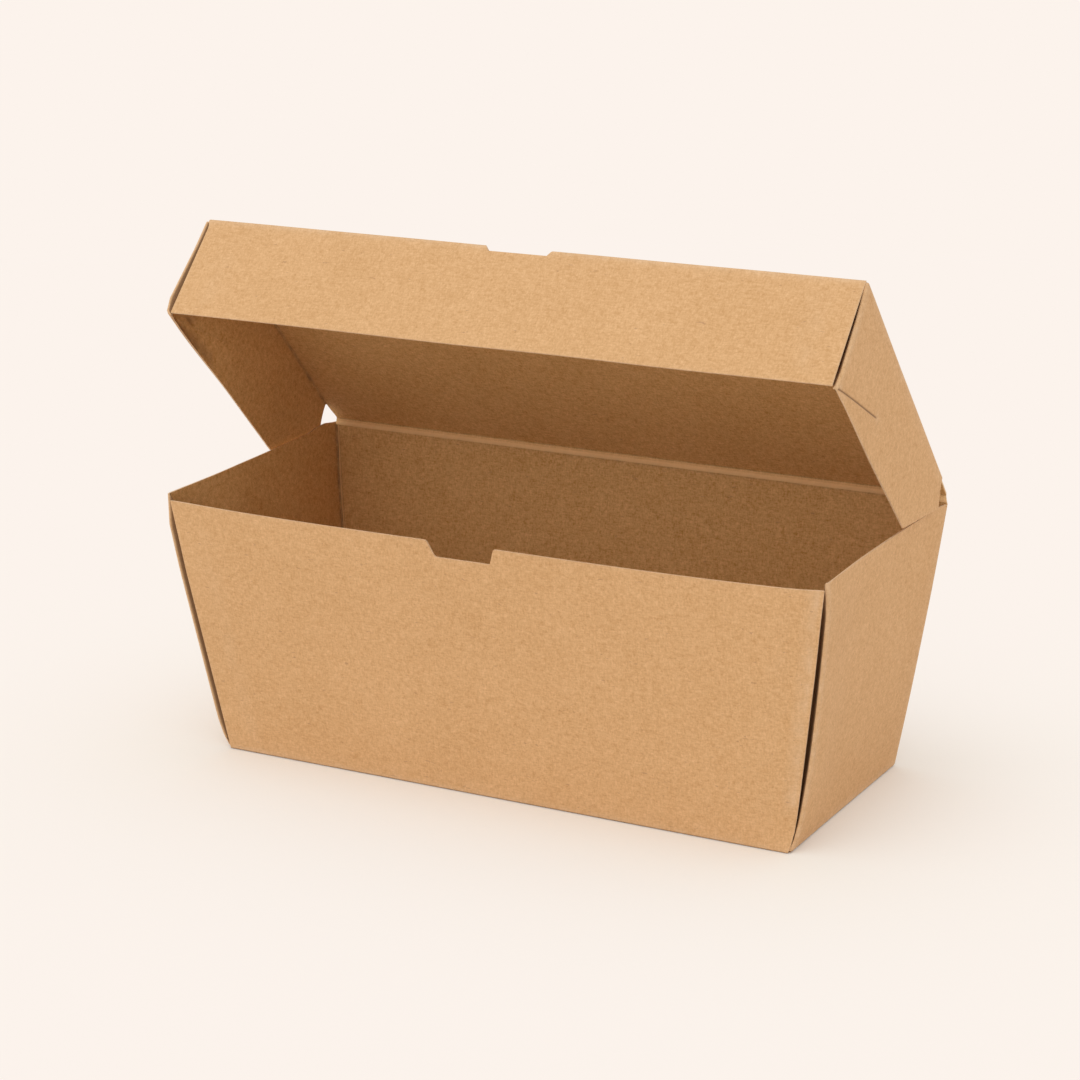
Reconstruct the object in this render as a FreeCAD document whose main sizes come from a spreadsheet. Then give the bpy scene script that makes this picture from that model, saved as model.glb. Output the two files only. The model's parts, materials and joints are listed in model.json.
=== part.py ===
import FreeCAD, Part
import os
import Sketcher

# Hinged loaf carton of kraft paperboard: one die-cut sheet, folded and glued into a tapered tray
# and a lid that swings on the crease along the top of the tray's back wall.
# Millimetres, +Z up, origin at the middle of the base's underside; the front wall faces -Y.
# The tray is drawn where it stands. The lid is drawn shut, with its hinge axis on its own origin,
# and its Placement turns it up to the opening angle.

DIMENSIONS = [
    # the board and its folds
    ("board", 0.5, "thickness of the paperboard"),
    ("fold_radius", 0.3, "inner radius of every fold"),
    ("corner_gap", 0.6, "how far a wall's cut end stops short of the corner fold beside it"),
    # the tray, measured outside; its walls lean outwards from the base to wall_height
    ("base_length", 177.9, "base, along X"),
    ("base_depth", 74.0, "base, along Y"),
    ("rim_length", 200.4, "mouth at wall_height, along X"),
    ("rim_depth", 86.8, "mouth at wall_height, along Y"),
    ("wall_height", 77.6, "top of the side walls, and of the back wall's lower crease"),
    ("front_height", 75.9, "top of the front wall"),
    ("front_bow", 4.3, "how far the front wall's top bulges outwards at its middle"),
    ("glue_strip", 3.5, "end of the front wall that lies flat on its glue tab"),
    # the glue tabs on the ends of the side walls
    ("tab_width", 14.0, "width of a glue tab"),
    ("tab_slant", 5.0, "how far a tab's slanted ends run back along its fold"),
    ("tab_foot", 3.0, "height at which the tabs start above the base"),
    # the finger notch in the front wall
    ("notch_offset", -3.5, "middle of the notch, along X"),
    ("notch_width", 21.3, "width of the notch at the top"),
    ("notch_taper", 2.1, "how much each side of the notch leans in"),
    ("notch_depth", 4.6, "depth of the notch below the top of the front wall"),
    # the hinge: a narrow band between two creases, then the lid
    ("band_height", 2.5, "from the lower crease up to the hinge axis"),
    ("hinge_gap", 0.3, "clearance between the band's top and the lid's rounded edge"),
    # the lid, measured outside when shut
    ("lid_clearance", 0.2, "between the tray's side walls and the lid's side flaps"),
    ("lid_depth", 94.7, "from the hinge axis to the front fold"),
    ("lid_skirt", 31.3, "height of the lid's front flap"),
    ("lid_lean", 6.9, "how far the front flap leans in, in degrees"),
    ("lid_angle", 49.45, "how far the lid stands open, in degrees"),
    ("lid_tab_width", 13.0, "width of the lid's glue tabs"),
    ("lid_tab_start", 2.0, "how far below the top panel the lid's glue tabs start"),
    # the outline of a side flap, in the shut lid
    ("flap_drop", 31.0, "height of a side flap at its front end"),
    ("heel_reach", 21.2, "from the hinge axis forward to the flap's lower heel"),
    ("heel_drop", 28.15, "height of the flap at that heel"),
    ("relief_radius", 8.3, "cut-away around the hinge axis"),
    ("relief_angle", 63.6, "where the cut-away meets the heel's slanted edge, in degrees"),
    # the diagonal score on a side flap
    ("score_run", 28.6, "length of the score, along Y"),
    ("score_rise", 11.9, "how far the score climbs"),
    ("score_width", 0.5, "width of the score"),
    ("score_depth", 0.15, "depth of the score in the board"),
    # the notch across the lid's front fold
    ("slot_width", 20.8, "width of the notch at the fold"),
    ("slot_taper", 1.4, "how much each side of the notch leans in"),
    ("slot_drop", 2.0, "depth of the notch in the front flap"),
    ("slot_reach", 3.2, "depth of the notch in the top panel"),
]

# Sizes that follow from the sheet, written as expressions.
BEND = "(dims.board + dims.fold_radius)"
SIDE_LEAN = "atan((dims.rim_length - dims.base_length) / 2 / dims.wall_height)"
END_LEAN = "atan((dims.rim_depth - dims.base_depth) / 2 / dims.wall_height)"
SIDE_SKIN = f"(dims.board / cos({SIDE_LEAN}))"
END_SKIN = f"(dims.board / cos({END_LEAN}))"
SIDE_BACK = f"({BEND} * tan((90 deg - {SIDE_LEAN}) / 2))"
END_BACK = f"({BEND} * tan((90 deg - {END_LEAN}) / 2))"
LID_LEAN = "(dims.lid_lean * 1 deg)"
LID_BACK = f"({BEND} * tan((90 deg + {LID_LEAN}) / 2))"
LID_SKIN = f"(dims.board / cos({LID_LEAN}))"
LID_HALF = "(dims.rim_length / 2 + dims.lid_clearance + dims.board)"
HINGE_HEIGHT = "(dims.wall_height + dims.band_height)"
OVERCUT = "(dims.board * 4)"


def side_at(height):
    """X of a side wall's outer face at a height above the base."""
    return f"(dims.base_length / 2 + ({height}) * tan({SIDE_LEAN}))"


def end_at(height):
    """Distance of the tray's front or back outer face from the middle, at a height above the base."""
    return f"(dims.base_depth / 2 + ({height}) * tan({END_LEAN}))"


def lid_front_at(drop):
    """Distance of the lid flap's outer face from the hinge axis, at a drop below the top panel."""
    return f"(dims.lid_depth - ({drop}) * tan({LID_LEAN}))"


document = FreeCAD.newDocument("loaf_box")
dims = document.addObject("Spreadsheet::Sheet", "dims")
for row, (name, size, meaning) in enumerate(DIMENSIONS, start=1):
    dims.set(f"A{row}", name)
    dims.set(f"B{row}", str(size))
    dims.set(f"C{row}", meaning)
    dims.setAlias(f"B{row}", name)
document.recompute()


def value(expression):
    """The number that an expression over the sheet gives now."""
    return float(dims.evalExpression(expression))


def new_body(name):
    body = document.addObject("PartDesign::Body", name)
    body.Label = name
    return body


def new_sketch(body, name, role, lift="0", rise="0", tilt="0 deg"):
    """A sketch on an origin plane of its body, lifted along the plane's normal and raised along the
    sketch's own Y, then tilted about the sketch's own X."""
    sketch = body.newObject("Sketcher::SketchObject", name)
    plane = [feature for feature in body.Origin.OriginFeatures if feature.Role == role][0]
    sketch.AttachmentSupport = [(plane, "")]
    sketch.MapMode = "FlatFace"
    turn = FreeCAD.Rotation(FreeCAD.Vector(1, 0, 0), 1)
    sketch.AttachmentOffset = FreeCAD.Placement(FreeCAD.Vector(0, 0, 0), turn)
    sketch.setExpression("AttachmentOffset.Base.y", rise)
    sketch.setExpression("AttachmentOffset.Base.z", lift)
    sketch.setExpression("AttachmentOffset.Rotation.Angle", tilt)
    return sketch


def draw(sketch, points):
    """Draw a closed outline. Each point is (x, y) or (x, y, radius, centre x, centre y): with a
    radius, the edge that leaves the point is an arc of that radius about roughly that centre."""
    corners = [FreeCAD.Vector(value(point[0]), value(point[1]), 0) for point in points]
    ends = []
    for number, point in enumerate(points):
        start, finish = corners[number], corners[(number + 1) % len(points)]
        if len(point) == 2:
            edge = sketch.addGeometry(Part.LineSegment(start, finish))
            ends.append((edge, 1, 2))
            continue
        centre = FreeCAD.Vector(value(point[3]), value(point[4]), 0)
        circle = Part.Circle(centre, FreeCAD.Vector(0, 0, 1), value(point[2]))
        turns_left = (start - centre).cross(finish - centre).z > 0
        first, last = (start, finish) if turns_left else (finish, start)
        arc = Part.ArcOfCircle(circle, circle.parameter(first), circle.parameter(last))
        edge = sketch.addGeometry(arc)
        ends.append((edge, 1, 2) if turns_left else (edge, 2, 1))
        radius = sketch.addConstraint(Sketcher.Constraint("Radius", edge, value(point[2])))
        sketch.setExpression(f"Constraints[{radius}]", point[2])
    for number, point in enumerate(points):
        edge, start_end, finish_end = ends[number]
        following = ends[(number + 1) % len(points)]
        sketch.addConstraint(Sketcher.Constraint("Coincident", edge, finish_end, *following[:2]))
        for kind, expression in (("DistanceX", point[0]), ("DistanceY", point[1])):
            place = sketch.addConstraint(Sketcher.Constraint(kind, edge, start_end, value(expression)))
            sketch.setExpression(f"Constraints[{place}]", expression)


def pad(body, name, sketch, length, into=False, symmetric=False):
    """Pad a sketch along its normal, against it (into), or both ways."""
    feature = body.newObject("PartDesign::Pad", name)
    feature.Profile = sketch
    feature.setExpression("Length", length)
    feature.Reversed = into
    if symmetric:
        feature.SideType = "Symmetric"
    return feature


def pocket(body, name, sketch, length, along=False):
    """Cut a sketch into the body against its normal, or along it."""
    feature = body.newObject("PartDesign::Pocket", name)
    feature.Profile = sketch
    feature.setExpression("Length", length)
    feature.Reversed = along
    return feature


def loft(body, name, lower, upper):
    feature = body.newObject("PartDesign::AdditiveLoft", name)
    feature.Profile = lower
    feature.Sections = [upper]
    feature.Ruled = True
    return feature


def mirror(body, name, features):
    """Repeat features on the other side of the body's YZ plane."""
    feature = body.newObject("PartDesign::Mirrored", name)
    feature.Originals = features
    plane = [item for item in body.Origin.OriginFeatures if item.Role == "YZ_Plane"][0]
    feature.MirrorPlane = (plane, [""])
    body.Tip = feature
    return feature


def fold_section(lean, corner, up, skin=BEND):
    """Section of a fold from a flat panel up into a wall that leans out, past the panel's end."""
    back = f"({skin} * tan((90 deg - {lean}) / 2))"
    across = f"({corner} - {back})"
    return [
        (across, "0 mm", skin, across, f"{up} * {skin}"),
        (f"{corner} + {back} * sin({lean})", f"{up} * {back} * cos({lean})"),
        (f"{corner} + {back} * sin({lean}) - dims.board * cos({lean})",
         f"{up} * ({back} * cos({lean}) + dims.board * sin({lean}))",
         "dims.fold_radius", across, f"{up} * {skin}"),
        (across, f"{up} * dims.board"),
    ]


def swap(points, sign=""):
    """The same outline with its X reversed when sign is a minus."""
    return [(f"{sign}({p[0]})", p[1]) + ((p[2], f"{sign}({p[3]})", p[4]) if len(p) > 2 else ()) for p in points]


def corner_section(outer_x, outer_y, toward, skin_x, skin_y):
    """Plan section of a corner fold: a quarter turn from a side wall to its glue tab. toward is the
    sign of the way back into the box along Y, and both ends run on a little into their panels."""
    overlap = "dims.board"
    inner_x = f"({outer_x} - {skin_x})"
    inner_y = f"({outer_y} {toward} {skin_y})"
    return [
        (outer_x, f"{outer_y} {toward} {BEND}", BEND, f"{outer_x} - {BEND}", f"{outer_y} {toward} {BEND}"),
        (f"{outer_x} - {BEND}", outer_y),
        (f"{outer_x} - {BEND} - {overlap}", outer_y),
        (f"{outer_x} - {BEND} - {overlap}", inner_y),
        (f"{inner_x} - dims.fold_radius", inner_y, "dims.fold_radius",
         f"{inner_x} - dims.fold_radius", f"{inner_y} {toward} dims.fold_radius"),
        (inner_x, f"{inner_y} {toward} dims.fold_radius"),
        (inner_x, f"{outer_y} {toward} {BEND} {toward} {overlap}"),
        (outer_x, f"{outer_y} {toward} {BEND} {toward} {overlap}"),
    ]


def build_tray():
    body = new_body("tray")
    back_face = lambda height: f"({end_at(height)} - {END_SKIN})"
    front_inner = lambda height: f"({end_at(height)} - {END_SKIN})"

    # base, from fold to fold
    flat_x = f"(dims.base_length / 2 - {SIDE_BACK})"
    base = new_sketch(body, "base_outline", "XY_Plane")
    draw(base, [
        (f"-{flat_x}", f"-(dims.base_depth / 2 - {END_BACK})"),
        (flat_x, f"-(dims.base_depth / 2 - {END_BACK})"),
        (flat_x, f"dims.base_depth / 2 - {END_SKIN} - {END_BACK}"),
        (f"-{flat_x}", f"dims.base_depth / 2 - {END_SKIN} - {END_BACK}"),
    ])
    pad(body, "base", base, "dims.board")

    # right side wall: its fold along the base, and the wall between its corner folds
    fold_front = f"({front_inner('0')} - {BEND})"
    fold_rear = f"({end_at('0')} - {BEND})"
    side_fold_outline = new_sketch(body, "side_fold_section", "XZ_Plane", lift=fold_front)
    draw(side_fold_outline, fold_section(SIDE_LEAN, "dims.base_length / 2", "1"))
    side_fold = pad(body, "side_fold", side_fold_outline, f"{fold_front} + {fold_rear}", into=True)

    slope = f"cos({SIDE_LEAN})"
    side_low, side_high = SIDE_BACK, f"(dims.wall_height / {slope})"
    side_outline = new_sketch(body, "side_wall_outline", "YZ_Plane", lift="dims.base_length / 2", tilt=SIDE_LEAN)
    draw(side_outline, [
        (f"-({front_inner(f'{side_low} * {slope}')} - {BEND})", side_low),
        (f"{end_at(f'{side_low} * {slope}')} - {BEND}", side_low),
        (f"{end_at('dims.wall_height')} - {BEND}", side_high),
        (f"-({front_inner('dims.wall_height')} - {BEND})", side_high),
    ])
    side_wall = pad(body, "side_wall", side_outline, "dims.board", into=True)

    # corner folds, from just above the base to the rim
    corner_folds = []
    for place, sign, toward, outer in (("front", "-", "+", front_inner), ("rear", "", "-", end_at)):
        sections = []
        for level, height in (("low", BEND), ("high", "dims.wall_height")):
            section = new_sketch(body, f"{place}_corner_{level}", "XY_Plane", lift=height)
            edge = f"({sign}{outer(height)})"
            draw(section, corner_section(side_at(height), edge, toward, SIDE_SKIN, END_SKIN))
            sections.append(section)
        corner_folds.append(loft(body, f"{place}_corner_fold", *sections))

    # glue tabs: the front one lies behind the front wall, the rear one outside the back wall
    rise = f"cos({END_LEAN})"
    tab_low, tab_high = f"(dims.tab_foot / {rise})", f"(dims.wall_height / {rise})"
    tabs = []
    for place, lift, tilt, into in (
            ("front", front_inner("0"), END_LEAN, True),
            ("rear", f"-({end_at('0')})", f"-{END_LEAN}", False)):
        outline = new_sketch(body, f"{place}_tab_outline", "XZ_Plane", lift=lift, tilt=tilt)
        fold_x = lambda along: f"({side_at(f'({along}) * {rise}')} - {BEND})"
        inner_low = f"({tab_low} + dims.tab_slant)"
        inner_high = f"({tab_high} - dims.tab_slant * 1.6)"
        draw(outline, [
            (fold_x(tab_low), tab_low),
            (fold_x(tab_high), tab_high),
            (f"{fold_x(inner_high)} - dims.tab_width", inner_high),
            (f"{fold_x(inner_low)} - dims.tab_width", inner_low),
        ])
        tabs.append(pad(body, f"{place}_tab", outline, "dims.board", into=into))

    mirror(body, "left_side", [side_fold, side_wall] + corner_folds + tabs)

    # front wall: fold, then a panel that is flat where it is glued to its tabs and bowed between them
    end_length = "(dims.base_length - dims.corner_gap * 2)"
    front_section = new_sketch(body, "front_fold_section", "YZ_Plane")
    draw(front_section, swap(fold_section(END_LEAN, "dims.base_depth / 2", "1"), "-"))
    pad(body, "front_fold", front_section, end_length, symmetric=True)

    foot = f"({END_BACK} * cos({END_LEAN}) - dims.board * sin({END_LEAN}))"
    flat = "dims.glue_strip"
    sections = []
    for level, height, bow in (("foot", foot, ""), ("rim", "dims.front_height", "dims.front_bow")):
        end_x = f"({side_at(height)} - dims.corner_gap)"
        bow_x = f"({end_x} - {flat})"
        outer_y = f"(-{end_at(height)})"
        inner_y = f"(-{end_at(height)} + {END_SKIN})"
        outer_arc = inner_arc = ()
        if bow:
            radius = f"(({bow_x} * {bow_x} + {bow} * {bow}) / 2 / {bow})"
            outer_arc = (radius, "0 mm", f"{outer_y} + {radius} - {bow}")
            inner_arc = (radius, "0 mm", f"{inner_y} + {radius} - {bow}")
        section = new_sketch(body, f"front_wall_{level}", "XY_Plane", lift=height)
        draw(section, [
            (f"-{end_x}", outer_y),
            (f"-{bow_x}", outer_y) + outer_arc,
            (bow_x, outer_y),
            (end_x, outer_y),
            (end_x, inner_y),
            (bow_x, inner_y) + inner_arc,
            (f"-{bow_x}", inner_y),
            (f"-{end_x}", inner_y),
        ])
        sections.append(section)
    loft(body, "front_wall", *sections)

    half_notch = "(dims.notch_width / 2)"
    notch_floor = "(dims.front_height - dims.notch_depth)"
    notch = new_sketch(body, "finger_notch_outline", "XZ_Plane",
                       lift=f"{end_at('dims.front_height')} + dims.front_bow + {OVERCUT}")
    draw(notch, [
        (f"dims.notch_offset - {half_notch}", f"dims.front_height + {OVERCUT}"),
        (f"dims.notch_offset - {half_notch}", "dims.front_height"),
        (f"dims.notch_offset - {half_notch} + dims.notch_taper", notch_floor),
        (f"dims.notch_offset + {half_notch} - dims.notch_taper", notch_floor),
        (f"dims.notch_offset + {half_notch}", "dims.front_height"),
        (f"dims.notch_offset + {half_notch}", f"dims.front_height + {OVERCUT}"),
    ])
    pocket(body, "finger_notch", notch, f"dims.front_bow + {OVERCUT} * 2 + dims.board")

    # back wall: fold, panel and the hinge band above the lower crease, all in one plane
    back_section = new_sketch(body, "back_fold_section", "YZ_Plane")
    draw(back_section, fold_section(END_LEAN, back_face("0"), "1"))
    back_end = f"({BEND} + dims.corner_gap / 2)"
    pad(body, "back_fold", back_section, f"dims.base_length - {back_end} * 2", symmetric=True)

    crease_up = f"({HINGE_HEIGHT} - dims.board / 2 - dims.hinge_gap)"
    back_outline = new_sketch(body, "back_wall_outline", "XZ_Plane",
                              lift=f"-({back_face('0')})", tilt=f"-{END_LEAN}")
    rim_x = f"({side_at('dims.wall_height')} - {back_end})"
    foot_x = f"({side_at(f'{END_BACK} * {rise}')} - {back_end})"
    draw(back_outline, [
        (f"-{foot_x}", END_BACK),
        (foot_x, END_BACK),
        (rim_x, f"dims.wall_height / {rise}"),
        (rim_x, f"{crease_up} / {rise}"),
        (f"-{rim_x}", f"{crease_up} / {rise}"),
        (f"-{rim_x}", f"dims.wall_height / {rise}"),
    ])
    pad(body, "back_wall", back_outline, "dims.board")
    return body


def build_lid():
    body = new_body("lid")
    skin = "(dims.board / 2)"
    fold_line = f"({LID_HALF} - {BEND})"

    # top panel, from the hinge's rounded edge to the front and side folds
    panel = new_sketch(body, "top_outline", "XY_Plane", lift=f"-{skin}")
    front_flat = f"(-(dims.lid_depth - {LID_BACK}))"
    draw(panel, [
        (f"-{fold_line}", front_flat),
        (fold_line, front_flat),
        (fold_line, "0 mm"),
        (f"-{fold_line}", "0 mm"),
    ])
    pad(body, "top_panel", panel, "dims.board")

    edge = new_sketch(body, "hinge_edge_section", "YZ_Plane")
    draw(edge, [
        ("0 mm", f"-{skin}", skin, "0 mm", "0 mm"),
        (skin, "0 mm", skin, "0 mm", "0 mm"),
        ("0 mm", skin),
        ("-dims.board", skin),
        ("-dims.board", f"-{skin}"),
    ])
    pad(body, "hinge_edge", edge, f"{fold_line} * 2", symmetric=True)

    # right side flap: fold from the relief cut to the front corner, then the flap
    relief_y = "sqrt(dims.relief_radius ^ 2 - (dims.fold_radius + dims.board / 2) ^ 2)"
    fold_front = f"({lid_front_at(BEND)} - {LID_SKIN} - {BEND})"
    side_section = new_sketch(body, "lid_side_fold_section", "XZ_Plane", lift=fold_front)
    draw(side_section, [
        (fold_line, skin, BEND, fold_line, f"{skin} - {BEND}"),
        (LID_HALF, f"{skin} - {BEND}"),
        (f"{LID_HALF} - dims.board", f"{skin} - {BEND}", "dims.fold_radius", fold_line, f"{skin} - {BEND}"),
        (fold_line, f"-{skin}"),
    ])
    side_fold = pad(body, "lid_side_fold", side_section, f"{fold_front} - {relief_y}", into=True)

    flap_top = f"({skin} - {BEND})"
    front_low = f"({lid_front_at('dims.flap_drop')} - {LID_SKIN} - {BEND})"
    flap = new_sketch(body, "side_flap_outline", "YZ_Plane", lift=LID_HALF)
    draw(flap, [
        (f"-{fold_front}", flap_top),
        (f"-{front_low}", f"{skin} - dims.flap_drop"),
        ("-dims.heel_reach", f"{skin} - dims.heel_drop"),
        ("-dims.relief_radius * cos(dims.relief_angle * 1 deg)",
         "-dims.relief_radius * sin(dims.relief_angle * 1 deg)",
         "dims.relief_radius", "0 mm", "0 mm"),
        (f"-{relief_y}", flap_top),
    ])
    side_flap = pad(body, "side_flap", flap, "dims.board", into=True)

    # corner fold and glue tab behind the front flap
    sections = []
    for level, drop in (("high", "dims.lid_tab_start"), ("low", "dims.flap_drop")):
        section = new_sketch(body, f"lid_corner_{level}", "XY_Plane", lift=f"{skin} - {drop}")
        outer_y = f"(-({lid_front_at(drop)} - {LID_SKIN}))"
        draw(section, corner_section(LID_HALF, outer_y, "+", "dims.board", LID_SKIN))
        sections.append(section)
    corner_fold = loft(body, "lid_corner_fold", *sections)

    lean = f"cos({LID_LEAN})"
    tab_outline = new_sketch(body, "lid_tab_outline", "XZ_Plane", lift=f"dims.lid_depth - {LID_SKIN}",
                             rise=skin, tilt=LID_LEAN)
    tab_top, tab_low = f"(-dims.lid_tab_start / {lean})", f"(-dims.flap_drop / {lean})"
    draw(tab_outline, [
        (fold_line, tab_top),
        (fold_line, tab_low),
        (f"{fold_line} - dims.lid_tab_width", f"{tab_low} + dims.tab_slant"),
        (f"{fold_line} - dims.lid_tab_width", f"{tab_top} - dims.tab_slant"),
    ])
    tab = pad(body, "lid_tab", tab_outline, "dims.board", into=True)

    # diagonal score on the flap's outer face, from near its front lower corner
    score = new_sketch(body, "score_outline", "YZ_Plane", lift=LID_HALF)
    score_y, score_z = f"(-{front_low})", f"({skin} - dims.flap_drop)"
    draw(score, [
        (f"{score_y} + dims.score_width", f"{score_z} + dims.score_width"),
        (f"{score_y} + dims.score_width * 2", f"{score_z} + dims.score_width"),
        (f"{score_y} + dims.score_run", f"{score_z} + dims.score_rise"),
        (f"{score_y} + dims.score_run", f"{score_z} + dims.score_rise + dims.score_width"),
    ])
    score_cut = pocket(body, "flap_score", score, "dims.score_depth")

    mirror(body, "lid_left_side", [side_fold, side_flap, corner_fold, tab, score_cut])

    # front fold and front flap
    front_section = new_sketch(body, "lid_front_fold_section", "YZ_Plane")
    arc_y = f"(-(dims.lid_depth - {LID_BACK}))"
    draw(front_section, [
        (arc_y, skin, BEND, arc_y, f"{skin} - {BEND}"),
        (f"{arc_y} - {BEND} * cos({LID_LEAN})", f"{skin} - {BEND} - {BEND} * sin({LID_LEAN})"),
        (f"{arc_y} - dims.fold_radius * cos({LID_LEAN})",
         f"{skin} - {BEND} - dims.fold_radius * sin({LID_LEAN})",
         "dims.fold_radius", arc_y, f"{skin} - {BEND}"),
        (arc_y, f"-{skin}"),
    ])
    flap_half = f"({LID_HALF} - dims.corner_gap)"
    pad(body, "lid_front_fold", front_section, f"{flap_half} * 2", symmetric=True)

    front_flap = new_sketch(body, "front_flap_outline", "XZ_Plane", lift="dims.lid_depth",
                            rise=skin, tilt=LID_LEAN)
    draw(front_flap, [
        (f"-{flap_half}", f"-{LID_BACK}"),
        (f"-{flap_half}", "-dims.lid_skirt"),
        (flap_half, "-dims.lid_skirt"),
        (flap_half, f"-{LID_BACK}"),
    ])
    pad(body, "front_flap", front_flap, "dims.board", into=True)

    half_slot = "(dims.slot_width / 2)"
    slot = new_sketch(body, "fold_notch_outline", "XZ_Plane", lift=f"dims.lid_depth + {OVERCUT}")
    draw(slot, [
        (f"-{half_slot}", f"{skin} + {OVERCUT}"),
        (f"-{half_slot}", skin),
        (f"-({half_slot} - dims.slot_taper)", f"{skin} - dims.slot_drop"),
        (f"{half_slot} - dims.slot_taper", f"{skin} - dims.slot_drop"),
        (half_slot, skin),
        (half_slot, f"{skin} + {OVERCUT}"),
    ])
    pocket(body, "fold_notch", slot, f"{OVERCUT} + dims.slot_reach")

    # stand the lid open on the hinge axis, in the middle of the back wall's thickness
    hinge_y = f"{end_at(HINGE_HEIGHT)} - {END_SKIN} * 3 / 2"
    body.Placement = FreeCAD.Placement(FreeCAD.Vector(0, 0, 0), FreeCAD.Rotation(FreeCAD.Vector(1, 0, 0), -1))
    body.setExpression("Placement.Base.y", hinge_y)
    body.setExpression("Placement.Base.z", HINGE_HEIGHT)
    body.setExpression("Placement.Rotation.Angle", "-dims.lid_angle * 1 deg")
    return body


parts = [build_tray(), build_lid()]
document.recompute()

for thing in document.Objects:
    if "Invalid" in thing.State or "Error" in thing.State:
        raise RuntimeError(f"{thing.Name} did not compute: {thing.State}")
for part in parts:
    if part.Shape.isNull() or not part.Shape.isValid() or len(part.Shape.Solids) != 1:
        raise RuntimeError(f"{part.Label} is not one valid solid")

os.makedirs("parts", exist_ok=True)
for part in parts:
    part.Shape.exportStep(f"parts/{part.Label}.step")
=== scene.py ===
import json
import math

import bmesh
import bpy
from mathutils import Matrix, Vector, noise
from mathutils.kdtree import KDTree
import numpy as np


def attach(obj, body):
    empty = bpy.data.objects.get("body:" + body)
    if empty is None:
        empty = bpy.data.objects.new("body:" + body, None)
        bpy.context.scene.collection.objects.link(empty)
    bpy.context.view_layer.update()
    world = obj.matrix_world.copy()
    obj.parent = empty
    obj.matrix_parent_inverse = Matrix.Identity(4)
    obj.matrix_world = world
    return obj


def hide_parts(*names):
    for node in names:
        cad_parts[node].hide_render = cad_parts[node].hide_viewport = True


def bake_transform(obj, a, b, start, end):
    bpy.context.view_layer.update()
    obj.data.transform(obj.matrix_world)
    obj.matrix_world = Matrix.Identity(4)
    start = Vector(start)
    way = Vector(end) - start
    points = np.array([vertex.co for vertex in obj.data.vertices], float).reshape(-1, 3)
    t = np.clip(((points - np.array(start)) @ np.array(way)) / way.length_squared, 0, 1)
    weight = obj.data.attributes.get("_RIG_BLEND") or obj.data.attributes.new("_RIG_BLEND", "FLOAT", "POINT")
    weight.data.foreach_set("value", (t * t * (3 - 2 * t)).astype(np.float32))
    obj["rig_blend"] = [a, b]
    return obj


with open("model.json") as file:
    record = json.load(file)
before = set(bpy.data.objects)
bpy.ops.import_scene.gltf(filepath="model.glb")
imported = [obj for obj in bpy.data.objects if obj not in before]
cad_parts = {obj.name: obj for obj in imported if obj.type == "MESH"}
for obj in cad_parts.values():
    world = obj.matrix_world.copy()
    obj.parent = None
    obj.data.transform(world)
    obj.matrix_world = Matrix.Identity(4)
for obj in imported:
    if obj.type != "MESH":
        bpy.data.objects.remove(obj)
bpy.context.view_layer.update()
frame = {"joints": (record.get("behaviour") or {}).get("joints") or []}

MM = 0.001

# the board and its folds
BOARD = 0.5
FOLD_RADIUS = 0.3
BEND = BOARD + FOLD_RADIUS
CORNER_GAP = 0.6
GLUE_LINE = 0.04
FOLD_STEPS = 5
CELL = 4.0
STRIP_HALF = 98.0
SAME_SHARE = 1e-4
CREASE_MARGINS = (0.5, 1.4)
FOLD_ANGLE = math.radians(8)
CRISP_ANGLE = math.radians(40)
WELD = 0.004
SLIVER = 0.0005

# how far marks reach from a fold or a cut edge, and the painted shade below which a point takes no wear
CREASE_FADE = 0.35
FOLD_WEAR_FADE = 0.9
CUT_WEAR = 0.4
CUT_WEAR_FADE = 0.6
WEARLESS_SHADE = -0.05

# the tray, outside
BASE_LENGTH = 177.9
BASE_DEPTH = 74.0
RIM_LENGTH = 200.4
RIM_DEPTH = 86.8
WALL_HEIGHT = 77.6
FRONT_HEIGHT = 75.9
TAB_WIDTH = 14.0
TAB_SLANT = 5.0
TAB_TOP_SLANT = 1.6
TAB_FOOT = 3.0
TAB_SHOULDER = 3.6
SHOULDER_SHARE = 0.12
GLUED_SHARE = 0.1
TRAY_INSIDE = (0.0, 0.0, 38.0)
SIDE_LEAN = math.atan((RIM_LENGTH - BASE_LENGTH) / 2 / WALL_HEIGHT)
END_LEAN = math.atan((RIM_DEPTH - BASE_DEPTH) / 2 / WALL_HEIGHT)
END_SKIN = BOARD / math.cos(END_LEAN)

# how the front wall has settled: its bow, its left corner drawn forwards, its right end spread and
# curled; the spread is held back towards the rim
FRONT_BOW = 3.9
BOW_FULLNESS = 3.3
GLUE_STRIP = 3.0
CORNER_PULL = 2.45
PULL_REACH = 105.0
PULL_START = 5.0
PULL_HEIGHT = 55.0
PULL_GROWTH = 1.3
PULL_LIFT = 1.1
PULL_FROM_Y, PULL_TO_Y = -30.0, 40.0
END_SHIFT_RISE = 3.5
END_CURL = 1.35
CURL_REACH = 7.5
END_SPREAD = 1.0
SPREAD_REACH = 45.0
RIM_HELD = 0.35
RIM_HOLD_START = 50.0

# how the corner folds have swollen, by side where it differs: -1 is the left end, 1 the right
LEFT_SWELL = 2.75
LEFT_SWELL_RISE = 4.5
RIGHT_SWELL = 1.5
RIGHT_BELLY = 0.75
REAR_SWELL = {-1: 2.1, 1: 0.7}
BAND_FOLLOWS = 0.95
SWELL_REACH = 30.0
STAND_OFF = {-1: 0.55, 1: 1.1}
STAND_OFF_RISE = {-1: 20.0, 1: 30.0}
TAB_HOLD = 0.75
TAB_DIP = 3.0
DIP_START = 2.0
DIP_END_FROM, DIP_END_TO = 3.5, 9.0
# room beside the tray for the shut lid: a clearance, and the share counted on of the flap's swelling
FLAP_ROOM = 0.17
LID_TRUST = 0.7

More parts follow.
